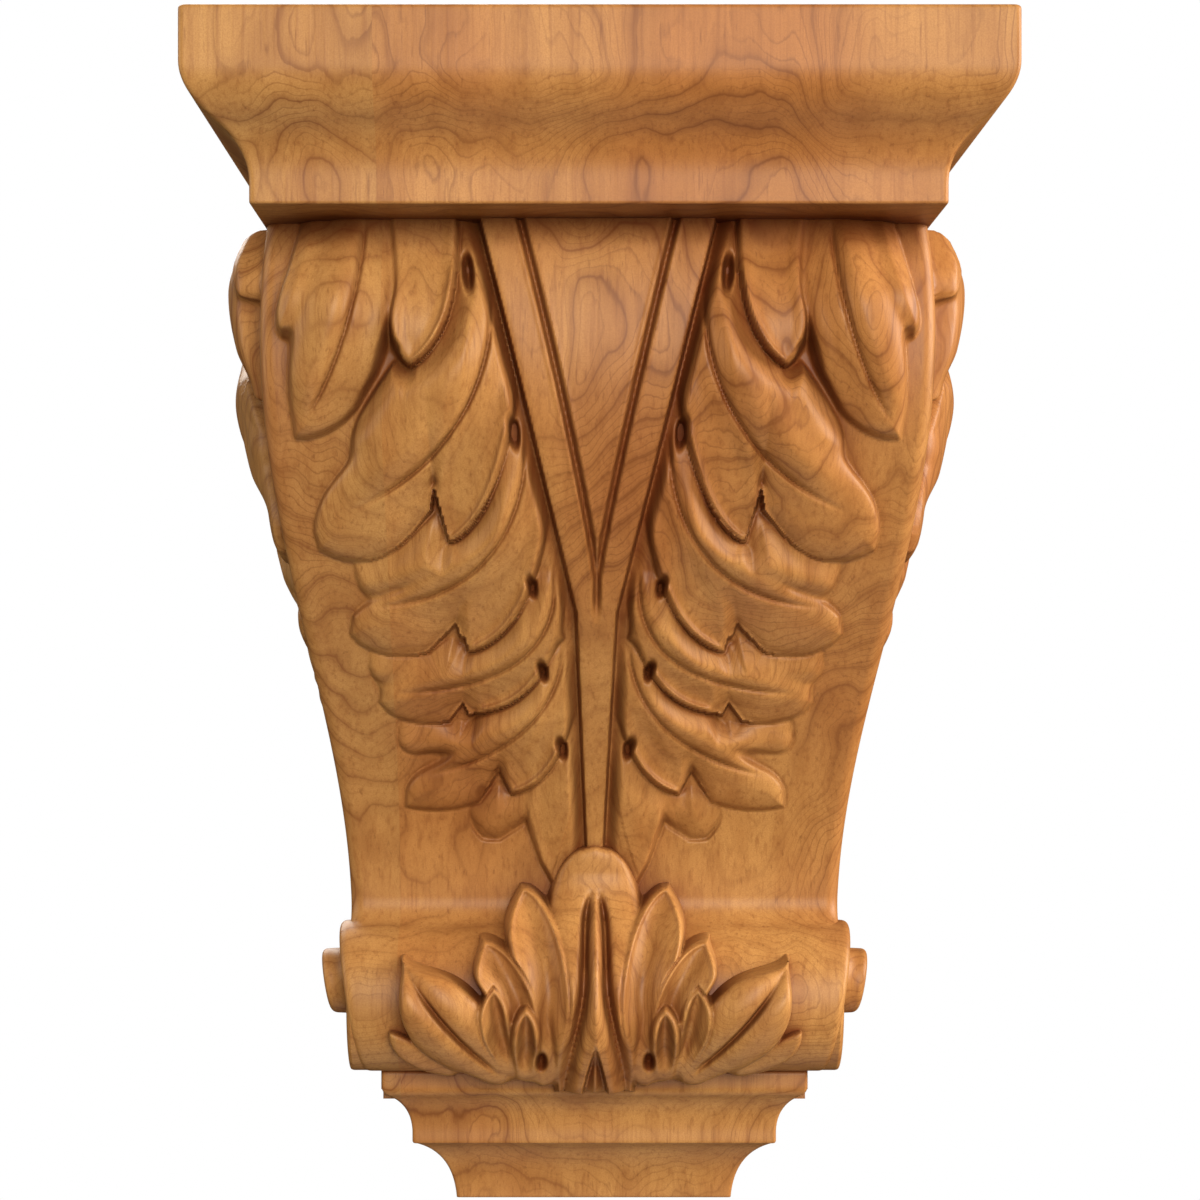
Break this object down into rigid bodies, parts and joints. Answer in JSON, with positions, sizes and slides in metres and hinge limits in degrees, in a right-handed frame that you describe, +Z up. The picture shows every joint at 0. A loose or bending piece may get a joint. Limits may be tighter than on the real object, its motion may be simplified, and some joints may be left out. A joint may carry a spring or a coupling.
{
  "type": "wood corbel",
  "caption": "Carved acanthus corbel with a moulded cap, S-curved tapering body, scroll roll and coved foot, fixed to a wall to carry a shelf, mantel or counter.",
  "frame": {"origin": "middle of the flat back face, on the centre line at half the height", "axes": "+Z up, +Y out of the back face into the wall, +X to the right as seen from the front"},
  "size_m": [0.2286, 0.1778, 0.352],
  "materials": {
    "wood": "cherry wood, sanded smooth with a thin satin lacquer"
  },
  "bodies": {
    "root": {"corbel": "wood"}
  },
  "joints": []
}
